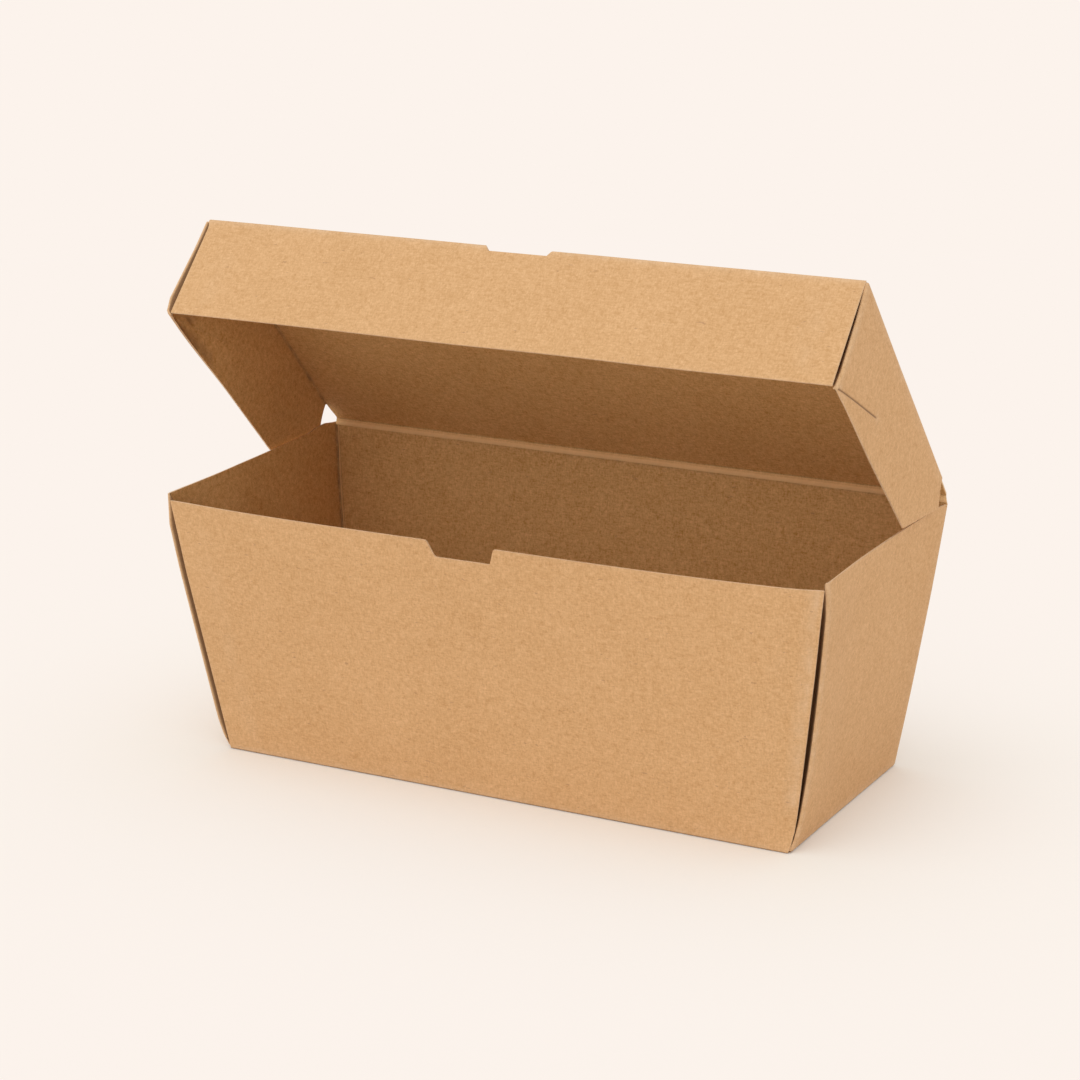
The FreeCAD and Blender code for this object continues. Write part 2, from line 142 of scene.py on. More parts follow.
# how the side walls' rims have been pressed in and lifted, growing from RIM_SHAPE_START up; the
# shares run from the front corner fold to the rear one
RIM_SHAPE_START = 30.0
LEFT_RIM_PRESS = 0.35
LEFT_PRESS_FROM, LEFT_PRESS_TO = 0.35, 0.6
LEFT_RIM_RISE = 0.8
LEFT_RISE_FROM, LEFT_RISE_TO = 0.1, 0.9
LEFT_RIM_HUMP = 1.2
HUMP_PLACE = 0.9
HUMP_WIDTH = 0.06
RIGHT_RIM_PRESS = 1.0
RIGHT_RIM_DROP = 0.3
REAR_CORNER = 0.9
REAR_CORNER_OUT = 0.35
REAR_CORNER_DROP = 0.3

# painted shade stored on the points: a painted contact shadow under the tray's base folds, and painted
# shade in the grooves beside the sprung glue tabs of the tray and the lid
BASE_CONTACT_SHADOW = 0.85
BASE_LINE_FROM, BASE_LINE_TO = 0.15, 0.5
ON_FLOOR = 0.001
GROOVE_SHADE = {-1: 1.0, 1: 0.85}
GROOVE_START = 0.55
GROOVE_END_FROM, GROOVE_END_TO = 3.0, 6.0

# the board's slow unevenness, which dies out towards the base and the rim
WAVE = 0.12
WAVE_LENGTH = 45.0
WAVE_SEED_X = 3.1
WAVE_SEED_Y = 7.7
LID_WAVE_SEED = 11.3
CALM_REACH = 12.0
CALM_RIM = 1.0
LID_CALM_REACH = 14.0
LID_WAVE = 2.0

# the finger notch in the front wall, and where its sides need columns, as shares of its depth
NOTCH_MIDDLE = -3.5
NOTCH_FLOOR = 8.55
NOTCH_TAPER = {-1: 2.1, 1: 1.4}
NOTCH_DEPTH = 4.6
NOTCH_ROUNDING = 0.22
NOTCH_COLUMNS = (-0.25, 0, 0.25, 0.5, 0.75, 1.0, 1.25)

# the hinge band, with the heights above the wall round which it has more rows
BAND_HEIGHT = 2.5
HINGE_GAP = 0.3
BAND_LINES = (0.0, 0.9, 1.55)
BAND_LINE_ROWS = (-0.3, -0.14, 0.0, 0.14, 0.3)
RIDGE_LEVEL = WALL_HEIGHT + 0.3
RIDGE_DEPTH = 0.42
RIDGE_ABOVE = 0.75
RIDGE_BELOW = 2.2
BAND_HALF = {-1: 99.3, 1: 100.0}
BAND_ROOT = 99.6
BAND_FOOT = 100.6
# how far above the wall's top the band reaches its own width, and how far below it the wall's rows
# end, its right end reaches BAND_ROOT and the band's widened foot starts; from CORNER_ROWS above the
# dropped right corner, that end follows the foot
BAND_WIDENING = 0.25
WALL_ROWS_END = 0.6
ROOT_END = 0.3
BAND_FOOT_START = 0.4
CORNER_ROWS = 0.1
# painted highlight on the hinge band: heights above the ridge over which it comes in, its strength over the
# band and its lower stripe, and that stripe's height and blur
PALE_FROM, PALE_TO = -0.2, 0.05
BAND_PALE = 0.45
STRIPE_PALE = 0.3
STRIPE_HEIGHT = 0.95
STRIPE_BLUR = 0.15
# painted light on the strip beside the back wall's end, by share of the rear tab's width: painted shade in
# the fold, a painted highlight beside it, and the painted shadow of the back wall's end
CORNER_PAINTED_LIGHT = {0.0: -1.0, 0.03: 0.7, 0.08: -0.9}
BACK_GAP = {-1: 1.25, 1: CORNER_GAP / 2}

# the lid, outside, drawn shut with the hinge axis on the origin
LID_CLEARANCE = 0.2
LID_DEPTH = 94.7
LID_SKIRT = 31.3
LID_LEAN = math.radians(6.9)
LID_ANGLE = math.radians(49.45)
LID_TAB_WIDTH = 13.0
LID_TAB_START = 1.2
FLAP_DROP = 31.0
HEEL_REACH = 21.2
HEEL_DROP = 28.15
RELIEF_RADIUS = 8.3
RELIEF_ANGLE = math.radians(63.6)
SLOT_WIDTH = 20.8
SLOT_TAPER = 1.4
SLOT_DROP = 2.0
SLOT_REACH = 3.2
FLAP_SCORE_RUN = 28.6
FLAP_SCORE_RISE = 11.9
LID_SWELL = {-1: 2.9, 1: 0.8}
LID_SWELL_TOP = {-1: 0.8, 1: 0.15}
LID_SWELL_FULL = 27.0
LID_CORNER_KEPT = 0.1
LID_STAND_OFF = {-1: 0.5, 1: 0.9}
LID_STAND_OFF_RISE = 10.0
LID_TAB_DIP = 2.4
LID_CORNER = 5.0
LID_TAB_FOOT = 1.8
LID_END_TRIM = {-1: 0.8, 1: 0.0}
LID_TRIM_RISE = 3.0
HINGE_TAPER = {-1: 0.8, 1: 0.1}
LID_SWELL_REACH = 40.0
HEEL_LIFT = {-1: -0.45, 1: 1.7}
HEEL_ROUND = 5.0
RELIEF_REACH = {-1: 6.6, 1: 8.2}
RELIEF_FOOT = 0.62
RELIEF_BEND = Vector((0.0, -0.55, -0.35))
RELIEF_STEPS = 8
SCORE_START = 0.5
SCORE_FADE = 0.6
SCORE_WIDTH = 0.42
SCORE_ROWS = (-1.6, -0.9, -0.35, 0.0, 0.35, 0.9, 1.6)
SCORE_START_ROWS = (0.6, 1.6)
SCORE_END_ROWS = (0.0, -1.0)
SCORE_CUT = 0.002
SCORE_BLUR = 0.6
SCORE_DEPTH = {-1: 0.02, 1: 0.2}
SCORE_SHADE = {-1: 0.12, 1: 1.0}
LID_SKIN = BOARD / math.cos(LID_LEAN)
LID_HALF = RIM_LENGTH / 2 + LID_CLEARANCE + BOARD
HALF_SKIN = BOARD / 2
LID_INSIDE = (0.0, -46.0, -14.0)
WING_LENGTH = 90.0
MIDDLE_STEPS = 10
SAME_ROW = 0.01
HINGE = Vector(frame["joints"][0]["pos_m"]) / MM


# ---------------- sizes that follow from the folds

def side_at(height):
    """X of a side wall's outer face at a height above the base."""
    return BASE_LENGTH / 2 + height * math.tan(SIDE_LEAN)


def end_at(height):
    """Distance of the tray's front or back outer face from the middle, at a height."""
    return BASE_DEPTH / 2 + height * math.tan(END_LEAN)


def end_inner(height):
    """The same for the face one board further in."""
    return end_at(height) - END_SKIN


def lid_front_at(drop):
    """Distance of the lid flap's outer face from the hinge axis, at a drop below the top panel."""
    return LID_DEPTH - drop * math.tan(LID_LEAN)


def fold_back(lean):
    """How far before its corner a fold starts, when it turns up into a wall that leans out."""
    return BEND * math.tan((math.pi / 2 - lean) / 2)


def fold_arc(corner, lean):
    """Outer points (across, up) of a fold from a flat panel up into a wall that leans out."""
    start = corner - fold_back(lean)
    turns = [(math.pi / 2 - lean) * step / FOLD_STEPS for step in range(FOLD_STEPS + 1)]
    return [(start + BEND * math.sin(turn), BEND - BEND * math.cos(turn)) for turn in turns]


def mix(low, high, share):
    return low + (high - low) * share


def ease(low, high, value):
    """0 at low, 1 at high, smooth between them."""
    share = min(1.0, max(0.0, (value - low) / (high - low)))
    return share * share * (3 - 2 * share)


def soft_ramp(value, rounding):
    """max(value, 0) with its corner rounded."""
    if value <= -rounding:
        return 0.0
    if value >= rounding:
        return value
    return (value + rounding) ** 2 / (4 * rounding)


def stations(start, end, step=CELL, margins=CREASE_MARGINS):
    """Positions from start to end, with a few extra ones close to both ends."""
    first, last = start + margins[-1], end - margins[-1]
    count = max(1, round((last - first) / step))
    middle = [mix(first, last, number / count) for number in range(count + 1)]
    near_start = [start] + [start + margin for margin in margins[:-1]]
    near_end = [end - margin for margin in reversed(margins[:-1])] + [end]
    return near_start + middle + near_end


def shares_of(length):
    """Stations along a length, as shares of it from 0 to 1."""
    return stations(0.0, 1.0, step=CELL / length, margins=tuple(m / length for m in CREASE_MARGINS))


# ---------------- folded sheets

class Sheet:
    """The outer face of a folded board, laid out panel by panel on grids that share their edges. Its
    points carry four marks: wear and crease, from 0 to 1, where crease is painted shade along the folds
    inside the box; painted light, a painted highlight above 0 and painted shade below it; and inside
    painted light, the same but shown inside the box only."""

    def __init__(self, name, inside):
        self.name = name
        self.inside = Vector(inside)
        self.mesh = bmesh.new()
        for layer in ("wear", "crease", "painted_light", "inside_painted_light"):
            self.mesh.verts.layers.float.new(layer)

    def panel(self, grid):
        """Add a grid of points, facing away from the point inside the box."""
        rows = [[self.mesh.verts.new(point) for point in row] for row in grid]
        faces = []
        for low, high in zip(rows, rows[1:]):
            for number in range(len(low) - 1):
                corners = (low[number], low[number + 1], high[number + 1], high[number])
                faces.append(self.mesh.faces.new(corners))
        outward = 0.0
        for face in faces:
            face.normal_update()
            outward += face.normal.dot(face.calc_center_median() - self.inside) * face.calc_area()
        if outward < 0:
            for face in faces:
                face.normal_flip()
        return faces

    def finish(self, placement, thickness=BOARD, wear_and_shade=1.0):
        """Weld the panels, give the board its thickness, and return the finished object."""
        bmesh.ops.remove_doubles(self.mesh, verts=self.mesh.verts, dist=WELD)
        bmesh.ops.dissolve_degenerate(self.mesh, edges=self.mesh.edges, dist=SLIVER)
        for face in self.mesh.faces:
            face.smooth = True
        self.mark_wear(wear_and_shade)
        self.mesh.transform(Matrix.Scale(MM, 4) @ placement)
        data = bpy.data.meshes.new(self.name)
        self.mesh.to_mesh(data)
        self.mesh.free()
        sheet = bpy.data.objects.new(self.name, data)
        bpy.context.scene.collection.objects.link(sheet)
        for material in (outer_kraft, inner_kraft, cut_edge):
            data.materials.append(material)
        skin = sheet.modifiers.new("board", "SOLIDIFY")
        skin.thickness = thickness * MM
        skin.offset = -1.0
        skin.use_even_offset = True
        skin.use_quality_normals = True
        skin.material_offset = 1
        skin.material_offset_rim = 2
        bpy.context.view_layer.update()
        graph = bpy.context.evaluated_depsgraph_get()
        solid = bpy.data.meshes.new_from_object(sheet.evaluated_get(graph))
        sheet.modifiers.clear()
        sheet.data = solid
        solid.name = self.name
        mark_cut_edges(solid)
        return sheet

    def mark_wear(self, wear_and_shade):
        """Store how close each point is to a fold, and to a fold or a cut edge: 1 on it, 0 well away."""
        layers = self.mesh.verts.layers.float
        wear, crease, painted_light, inside_painted_light = layers["wear"], layers["crease"], layers["painted_light"], layers["inside_painted_light"]
        self.mesh.normal_update()
        plain = [vertex for vertex in self.mesh.verts if min(vertex[painted_light], vertex[inside_painted_light]) > WEARLESS_SHADE]
        folded = [vertex for vertex in plain if any(is_fold(edge) for edge in vertex.link_edges)]
        cut = [vertex for vertex in plain if vertex.is_boundary]
        from_fold, from_cut = nearest_to(folded), nearest_to(cut)
        for vertex in self.mesh.verts:
            near = from_fold(vertex.co)
            edge_mark = math.exp(-near / FOLD_WEAR_FADE)
            frayed = CUT_WEAR * math.exp(-from_cut(vertex.co) / CUT_WEAR_FADE)
            # the crease mark is painted shade along the folds inside the box
            vertex[crease] = wear_and_shade * math.exp(-near / CREASE_FADE)
            vertex[wear] = wear_and_shade * max(edge_mark, frayed)


def is_fold(edge):
    """Whether the board turns at this edge."""
    return len(edge.link_faces) == 2 and edge.calc_face_angle(0.0) > FOLD_ANGLE


def nearest_to(marks):
    """A function that gives the distance to the nearest of some vertices."""
    tree = KDTree(len(marks))
    for number, vertex in enumerate(marks):
        tree.insert(vertex.co, number)
    tree.balance()
    return lambda place: tree.find(place)[2]


def mark_cut_edges(data):
    """Keep the rims of a board crisp and its faces smooth."""
    solid = bmesh.new()
    solid.from_mesh(data)
    for edge in solid.edges:
        crisp = len(edge.link_faces) != 2 or edge.calc_face_angle(0.0) > CRISP_ANGLE
        edge.smooth = not crisp
    solid.to_mesh(data)
    solid.free()


def wave(point, seed):
    """A slow unevenness of the board, in millimetres."""
    place = Vector(point) / WAVE_LENGTH + Vector((seed, 0.0, 0.0))
    return noise.noise(place) * WAVE


# ---------------- materials

def node_of(tree, kind, **settings):
    """A new node with its settings and the values of its inputs."""
    node = tree.nodes.new(kind)
    for name, value in settings.items():
        if name in node.inputs:
            node.inputs[name].default_value = value
        else:
            setattr(node, name, value)
    return node


# how fine the textures are, in noise cells to a metre, and how the fibres lying level and upright are
# drawn out; then the ranges of noise that make flecks, and that make the wear outside and the painted
# shade along the creases inside uneven
GRAIN_SCALE = 2300.0
FIBRE_SCALE = 2100.0
SPECK_SCALE = 1300.0
BLOTCH_SCALE = 420.0
UNEVEN_SCALE = 260.0
CLOUD_SCALE = 45.0
LYING_LEVEL = (0.3, 1.0, 1.0)
STANDING = (1.0, 0.4, 0.4)
SPECK_FROM, SPECK_TO, SPECK_SHARE = 0.70, 0.75, 0.45
UNEVEN_FROM, UNEVEN_TO, UNEVEN_LEAST = 0.35, 0.7, 0.35
ROUGHNESS = (0.7, 0.86)
BUMP_STRENGTH = 0.25
BUMP_HEIGHT = 0.00006
VISIBLE_STEP_POWER = 0.45

KRAFT = (0.646, 0.373, 0.165)
INNER_KRAFT = (0.645, 0.362, 0.130)
CUT_KRAFT = (0.730, 0.480, 0.265)
FLECK = (0.330, 0.165, 0.075)
# colour of worn folds and cut edges, and of painted highlights outside
WEAR_AND_HIGHLIGHT = (0.760, 0.560, 0.370)
# colour of painted highlights inside the box
PAINTED_HIGHLIGHT = (0.950, 0.600, 0.280)
# colour of painted shade: the stored dark painted light, and the shade painted along the creases inside
PAINTED_SHADE = (0.200, 0.095, 0.038)


def noise_of(tree, place, scale, detail, roughness=0.55):
    texture = node_of(tree, "ShaderNodeTexNoise", Scale=scale, Detail=detail, Roughness=roughness)
    tree.links.new(place, texture.inputs["Vector"])
    return texture.outputs["Fac"]


def spread(tree, value, low, high, to_low=0.0, to_high=1.0):
    """Map a value from one range to another, clamped."""
    node = tree.nodes.new("ShaderNodeMapRange")
    tree.links.new(value, node.inputs["Value"])
    for name, number in (("From Min", low), ("From Max", high), ("To Min", to_low), ("To Max", to_high)):
        node.inputs[name].default_value = number
    return node.outputs["Result"]


def tint(tree, factor, under, over):
    """Mix two colours; either may be a colour value or a socket."""
    node = tree.nodes.new("ShaderNodeMix")
    node.data_type = "RGBA"
    tree.links.new(factor, node.inputs["Factor"])
    for side, colour in (("A", under), ("B", over)):
        socket = [item for item in node.inputs if item.name == side and item.type == "RGBA"][0]
        if isinstance(colour, tuple):
            socket.default_value = (*colour, 1.0)
        else:
            tree.links.new(colour, socket)
    return [item for item in node.outputs if item.type == "RGBA"][0]


def weighed(tree, parts):
    """The weighted sum of some noises, kept about one half."""
    total = None
    for value, weight in parts:
        node = node_of(tree, "ShaderNodeMath", operation="MULTIPLY_ADD")
        tree.links.new(value, node.inputs[0])
        node.inputs[1].default_value = weight
        if total is None:
            node.inputs[2].default_value = 0.5 - 0.5 * sum(part[1] for part in parts)
        else:
            tree.links.new(total, node.inputs[2])
        total = node.outputs["Value"]
    return total


def drawn_out(tree, place, scale):
    """Coordinates that stretch a texture where the scale is small."""
    mapping = node_of(tree, "ShaderNodeMapping", Scale=scale)
    tree.links.new(place, mapping.inputs["Vector"])
    return mapping.outputs["Vector"]


def attribute(tree, name):
    return node_of(tree, "ShaderNodeAttribute", attribute_name=name).outputs["Fac"]


def lighter(colour, step):
    """A colour made lighter, or darker, by an equal visible step in each of its parts."""
    return tuple(max(0.0, part + step * part ** VISIBLE_STEP_POWER) for part in colour)


def joined(tree, operation, first, second):
    """A sum, a product or another operation on two sockets."""
    node = node_of(tree, "ShaderNodeMath", operation=operation)
    tree.links.new(first, node.inputs[0])
    tree.links.new(second, node.inputs[1])
    return node.outputs["Value"]


def paper(tree, place, colour, contrast):
    """Slight clouds, a fine felt of fibres lying both ways and a few dark flecks. Returns the colour,
    the felt and its grain."""
    level = drawn_out(tree, place, LYING_LEVEL)
    upright = drawn_out(tree, place, STANDING)
    grain = noise_of(tree, place, GRAIN_SCALE, 3.0, 0.7)
    fibres = weighed(tree, [
        (noise_of(tree, level, FIBRE_SCALE, 2.0), 1.0),
        (noise_of(tree, upright, FIBRE_SCALE, 2.0), 1.0),
    ])
    cloudy = weighed(tree, [
        (noise_of(tree, place, CLOUD_SCALE, 3.0), 0.5),
        (noise_of(tree, place, BLOTCH_SCALE, 2.0), 0.7),
    ])
    felt = weighed(tree, [(grain, 1.1), (fibres, 0.9), (cloudy, 0.5)])
    body = tint(tree, felt, lighter(colour, -contrast), lighter(colour, contrast))
    specks = noise_of(tree, level, SPECK_SCALE, 2.0, 0.5)
    specks = spread(tree, specks, SPECK_FROM, SPECK_TO, 0.0, SPECK_SHARE)
    return tint(tree, specks, body, FLECK), felt, grain


def marked(tree, place, body, wear_and_shade, shade_share, highlight_colour, inside_painted):
    """The paper's colour with its folds marked: worn outside, painted shade along the creases inside the
    box; then the painted highlight and painted shade stored on its points.
    """
    wear_and_shade_colour, mark, share = wear_and_shade
    uneven = spread(tree, noise_of(tree, place, UNEVEN_SCALE, 3.0), UNEVEN_FROM, UNEVEN_TO, UNEVEN_LEAST, 1.0)
    # fold and edge marks: wear outside, painted shade along the creases inside
    edge_mark = joined(tree, "MULTIPLY", attribute(tree, mark), uneven)
    body = tint(tree, spread(tree, edge_mark, 0.0, 1.0, 0.0, share), body, wear_and_shade_colour)
    # painted light stored on the points: a painted highlight above 0, painted shade below it
    painted_light = attribute(tree, "painted_light")
    if inside_painted:
        painted_light = joined(tree, "ADD", painted_light, attribute(tree, "inside_painted_light"))
    body = tint(tree, spread(tree, painted_light, 0.0, 1.0), body, highlight_colour)
    return tint(tree, spread(tree, painted_light, -1.0, 0.0, shade_share, 0.0), body, PAINTED_SHADE)


def kraft(name, colour, contrast=0.155, bump=1.0, wear_and_shade=(WEAR_AND_HIGHLIGHT, "wear", 0.35), shade_share=0.9, highlight_colour=WEAR_AND_HIGHLIGHT,
          inside_painted=False):
    """Unbleached paperboard. After contrast and bump, the arguments give in turn: the colour of its fold
    marks, the mark that it follows and its share (wear outside, painted shade along the creases inside);
    the share of the darkest painted shade; the colour of painted highlights; and whether the painted
    light shown inside the box only is added."""
    material = bpy.data.materials.new(name)
    material.use_nodes = True
    tree = material.node_tree
    shader = tree.nodes["Principled BSDF"]
    place = tree.nodes.new("ShaderNodeTexCoord").outputs["Object"]
    body, felt, grain = paper(tree, place, colour, contrast)
    body = marked(tree, place, body, wear_and_shade, shade_share, highlight_colour, inside_painted)
    tree.links.new(body, shader.inputs["Base Color"])

    tree.links.new(spread(tree, grain, 0.3, 0.7, *ROUGHNESS), shader.inputs["Roughness"])
    shader.inputs["Specular IOR Level"].default_value = 0.5
    bumps = node_of(tree, "ShaderNodeBump", Strength=BUMP_STRENGTH * bump, Distance=BUMP_HEIGHT)
    tree.links.new(felt, bumps.inputs["Height"])
    tree.links.new(bumps.outputs["Normal"], shader.inputs["Normal"])
    return material


outer_kraft = kraft("kraft_outside", KRAFT)
# inside the box the fold mark is painted shade along the creases
inner_kraft = kraft("kraft_inside", INNER_KRAFT, contrast=0.23, bump=1.2,
                    wear_and_shade=(PAINTED_SHADE, "crease", 0.7), shade_share=0.8, highlight_colour=PAINTED_HIGHLIGHT, inside_painted=True)
cut_edge = kraft("kraft_cut_edge", CUT_KRAFT, bump=2.0)


# ---------------- the tray

SIDE_ROWS = fold_arc(BASE_LENGTH / 2, SIDE_LEAN) + [
    (side_at(height), height) for height in [BEND] + stations(TAB_FOOT, WALL_HEIGHT)
]
TAB_ROWS = SIDE_ROWS[FOLD_STEPS + 2:]
SIDE_SHARES = shares_of(BASE_DEPTH)
CORNER_TURNS = [math.pi / 2 * step / FOLD_STEPS for step in range(FOLD_STEPS + 1)]
TAB_SHARES = (0.0, 0.03, 0.08, 0.15, 0.25, 0.37, 0.5, 0.65, 0.8, 0.9, 0.97, 1.0)
FLAT_HALF = BASE_LENGTH / 2 - fold_back(SIDE_LEAN)
BAND_TOP = WALL_HEIGHT + BAND_HEIGHT - BOARD / 2 - HINGE_GAP
LAST_ROW_GAP = 0.05


def wall_y(share, height):
    """Y of a point on the side wall, a share of the way from its front corner fold to its rear one."""
    return mix(-(end_inner(height) - BEND), end_at(height) - BEND, share)


def lid_swell(side, drop):
    """How far a side flap's corner fold stands out beside the front flap and back from it."""
    down = min(1.0, max(0.0, drop / LID_SWELL_FULL))
    low = min(1.0, max(0.0, (drop - FLAP_DROP + LID_CORNER) / LID_CORNER))
    rounded = LID_CORNER_KEPT + (1.0 - LID_CORNER_KEPT) * math.sqrt(1.0 - low * low)
    out = mix(LID_SWELL_TOP[side], LID_SWELL[side], down) * rounded
    return out, LID_STAND_OFF[side] * ease(0.0, LID_STAND_OFF_RISE, drop)


def front_swell(side, height):
    """How far a front corner fold stands out and back from its plain place: it springs away from
    the front wall's end below the rim, as far as the shut lid's flap leaves it room."""
    back = STAND_OFF[side] * ease(0.0, STAND_OFF_RISE[side], height)
    if side < 0:
        out = LEFT_SWELL * (1.0 - math.exp(-max(0.0, height) / LEFT_SWELL_RISE))
    else:
        belly = math.sin(math.pi * min(1.0, max(0.0, height / FRONT_HEIGHT)))
        out = RIGHT_SWELL * end_shift(height) + RIGHT_BELLY * belly
        back += END_CURL * end_shift(height)
    flap_out = LID_TRUST * lid_swell(side, HINGE.z + HALF_SKIN - height)[0]
    room = RIM_LENGTH / 2 + FLAP_ROOM + flap_out - side_at(height)
    return min(out, room), back


def end_shift(height):
    """Share of the front wall's right end's shift at a height: little at the base, full above it."""
    return 1.0 - math.exp(-max(0.0, height) / END_SHIFT_RISE)


def settle(point):
    """The tray's slow unevenness, and the left front corner drawn forwards above the base."""
    pull = max(0.0, (PULL_START - point.x) / PULL_REACH) ** PULL_GROWTH
    front = 1.0 - ease(PULL_FROM_Y, PULL_TO_Y, point.y)
    drawn = -CORNER_PULL * pull * front * min(1.0, max(0.0, point.z) / PULL_HEIGHT) ** PULL_LIFT
    calm = 1.0 - ease(WALL_HEIGHT - CALM_REACH, WALL_HEIGHT - CALM_RIM, point.z)
    calm = ease(0.0, CALM_REACH, point.z) * calm
    sideways, forwards = wave(point, WAVE_SEED_X), wave(point, WAVE_SEED_Y)
    return point + Vector((calm * sideways, drawn + calm * forwards, 0.0))


def tab_dip(distance):
    """How far a sprung glue tab dips behind its wall, as a share, at a distance from its fold."""
    return ease(0.0, DIP_START, distance) * (1.0 - ease(DIP_END_FROM, DIP_END_TO, distance))


def shade_tab(sheet, faces, side, front):
    """Paint shade into the groove that a sprung front tab leaves beside its wall. On a rear tab, paint the
    strip that shows inside the box, beside the back wall's end: painted shade in the fold, a painted
    highlight beside it and the painted shadow of the back wall's end. Columns are in the order of
    TAB_SHARES."""
    painted_light = sheet.mesh.verts.layers.float["painted_light"]
    inside_painted_light = sheet.mesh.verts.layers.float["inside_painted_light"]
    across = len(TAB_SHARES) - 1
    for number, face in enumerate(faces):
        low, high = TAB_SHARES[number % across], TAB_SHARES[number % across + 1]
        for vertex, share in zip(face.verts, (low, high, high, low)):
            if front:
                away = share * TAB_WIDTH
                fade = 1.0 - ease(GROOVE_END_FROM, GROOVE_END_TO, away)
                vertex[painted_light] = -GROOVE_SHADE[side] * ease(0.0, GROOVE_START, away) * fade
            else:
                vertex[inside_painted_light] = CORNER_PAINTED_LIGHT.get(share, 0.0)


def rear_swell(side, height):
    """How far a rear corner fold stands out at a height: most halfway up."""
    return REAR_SWELL[side] * math.sin(math.pi * min(1.0, max(0.0, height) / WALL_HEIGHT))


def rim_shape(side, share, height):
    """How far a side wall is pressed in (negative) and lifted, at a share of its way to the back."""
    upper = ease(RIM_SHAPE_START, WALL_HEIGHT, height)
    corner = ease(REAR_CORNER, 1.0, share)
    if side > 0:
        press = -RIGHT_RIM_PRESS * math.sin(math.pi * share) * upper
        press += REAR_CORNER_OUT * corner * upper
        lift = -(RIGHT_RIM_DROP * math.sin(math.pi * share) + REAR_CORNER_DROP * corner) * upper
    else:
        pressed = ease(LEFT_PRESS_FROM, LEFT_PRESS_TO, share)
        press = -LEFT_RIM_PRESS * pressed * (1.0 - corner) * upper
        hump = LEFT_RIM_HUMP * math.exp(-((share - HUMP_PLACE) / HUMP_WIDTH) ** 2)
        lift = (LEFT_RIM_RISE * ease(LEFT_RISE_FROM, LEFT_RISE_TO, share) + hump) * upper
    return press, lift


def side_place(side, x, y, z, hold_front=0.0, hold_rear=0.0):
    """A settled point of a side wall or its tabs, with its share of each corner's swelling."""
    out, back = front_swell(side, z)
    share = min(1.0, max(0.0, (y + end_inner(z)) / (end_at(z) + end_inner(z))))
    press, lift = rim_shape(side, share, z)
    outward = out * hold_front + rear_swell(side, z) * hold_rear + press
    return settle(Vector((side * (x + outward), y + back * hold_front, z + lift)))


def side_wall(sheet, side):
    """A side wall with its base fold."""
    grid = []
    for x, z in SIDE_ROWS:
        row = []
        for share in SIDE_SHARES:
            y = wall_y(share, z)
            front = 1.0 - ease(0.0, SWELL_REACH, y - wall_y(0.0, z))
            rear = 1.0 - ease(0.0, SWELL_REACH, wall_y(1.0, z) - y)
            row.append(side_place(side, x, y, z, front, rear))
        grid.append(row)
    sheet.panel(grid)


def corner_fold(sheet, side, front, face):
    """The fold from a side wall to its front or rear glue tab."""
    sign = -1 if front else 1
    grid = []
    for x, z in SIDE_ROWS[FOLD_STEPS + 1:]:
        row = []
        for turn in CORNER_TURNS:
            across = x - BEND + BEND * math.cos(turn)
            along = sign * (face(z) - BEND + BEND * math.sin(turn))
            row.append(side_place(side, across, along, z, float(front), float(not front)))
        grid.append(row)
    sheet.panel(grid)


def glue_tab(sheet, side, front, face):
    """A glue tab: a front one springs back behind the front wall, a rear one lies flat."""
    sign = -1 if front else 1
    glued, dip, shoulder = (GLUE_LINE, TAB_DIP, TAB_SHOULDER) if front else (0.0, 0.0, 0.0)
    grid = []
    for _, level in TAB_ROWS:
        rise = (level - TAB_FOOT) / (WALL_HEIGHT - TAB_FOOT)
        row = []
        for share in TAB_SHARES:
            low = TAB_FOOT + share * TAB_SLANT
            rounded = shoulder * ease(0.0, SHOULDER_SHARE, share)
            high = WALL_HEIGHT - share * TAB_SLANT * TAB_TOP_SLANT - rounded
            z = mix(low, high, rise)
            hold = 1.0 - ease(0.0, TAB_HOLD, share)
            sprung = dip * tab_dip(share * TAB_WIDTH)
            y = sign * (face(z) - glued * ease(0.0, GLUED_SHARE, share) - sprung)
            x = side_at(z) - BEND - share * TAB_WIDTH
            row.append(side_place(side, x, y, z, hold * front, hold * (not front)))
        grid.append(row)
    shade_tab(sheet, sheet.panel(grid), side, front)


def side_strip(sheet, side):
    """One end of the tray: side wall with its base fold, two corner folds and two glue tabs."""
    side_wall(sheet, side)
    for front, face in ((True, end_inner), (False, end_at)):
        corner_fold(sheet, side, front, face)
        glue_tab(sheet, side, front, face)


def columns(extra):
    """Shares of the half length, from -1 to 1, for the strip that runs front to back."""
    margins = tuple(margin / STRIP_HALF for margin in CREASE_MARGINS)
    shares = stations(-1.0, 1.0, step=CELL / STRIP_HALF, margins=margins)
    shares += [place for place in extra if all(abs(place - share) > SAME_SHARE for share in shares)]
    return sorted(shares)


def notch_drop(x):
    """How far the finger notch lowers the front wall's top at x."""
    taper = NOTCH_TAPER[-1 if x < NOTCH_MIDDLE else 1]
    inward = (NOTCH_FLOOR + taper - abs(x - NOTCH_MIDDLE)) / taper
    return NOTCH_DEPTH * (soft_ramp(inward, NOTCH_ROUNDING) - soft_ramp(inward - 1.0, NOTCH_ROUNDING))


def front_bow(x, height):
    """How far the front wall bulges outwards: most at the middle of its top, none at its ends."""
    half = side_at(height) - CORNER_GAP - GLUE_STRIP
    across = max(0.0, 1.0 - (abs(x) / half) ** BOW_FULLNESS)
    return FRONT_BOW * across * height / FRONT_HEIGHT


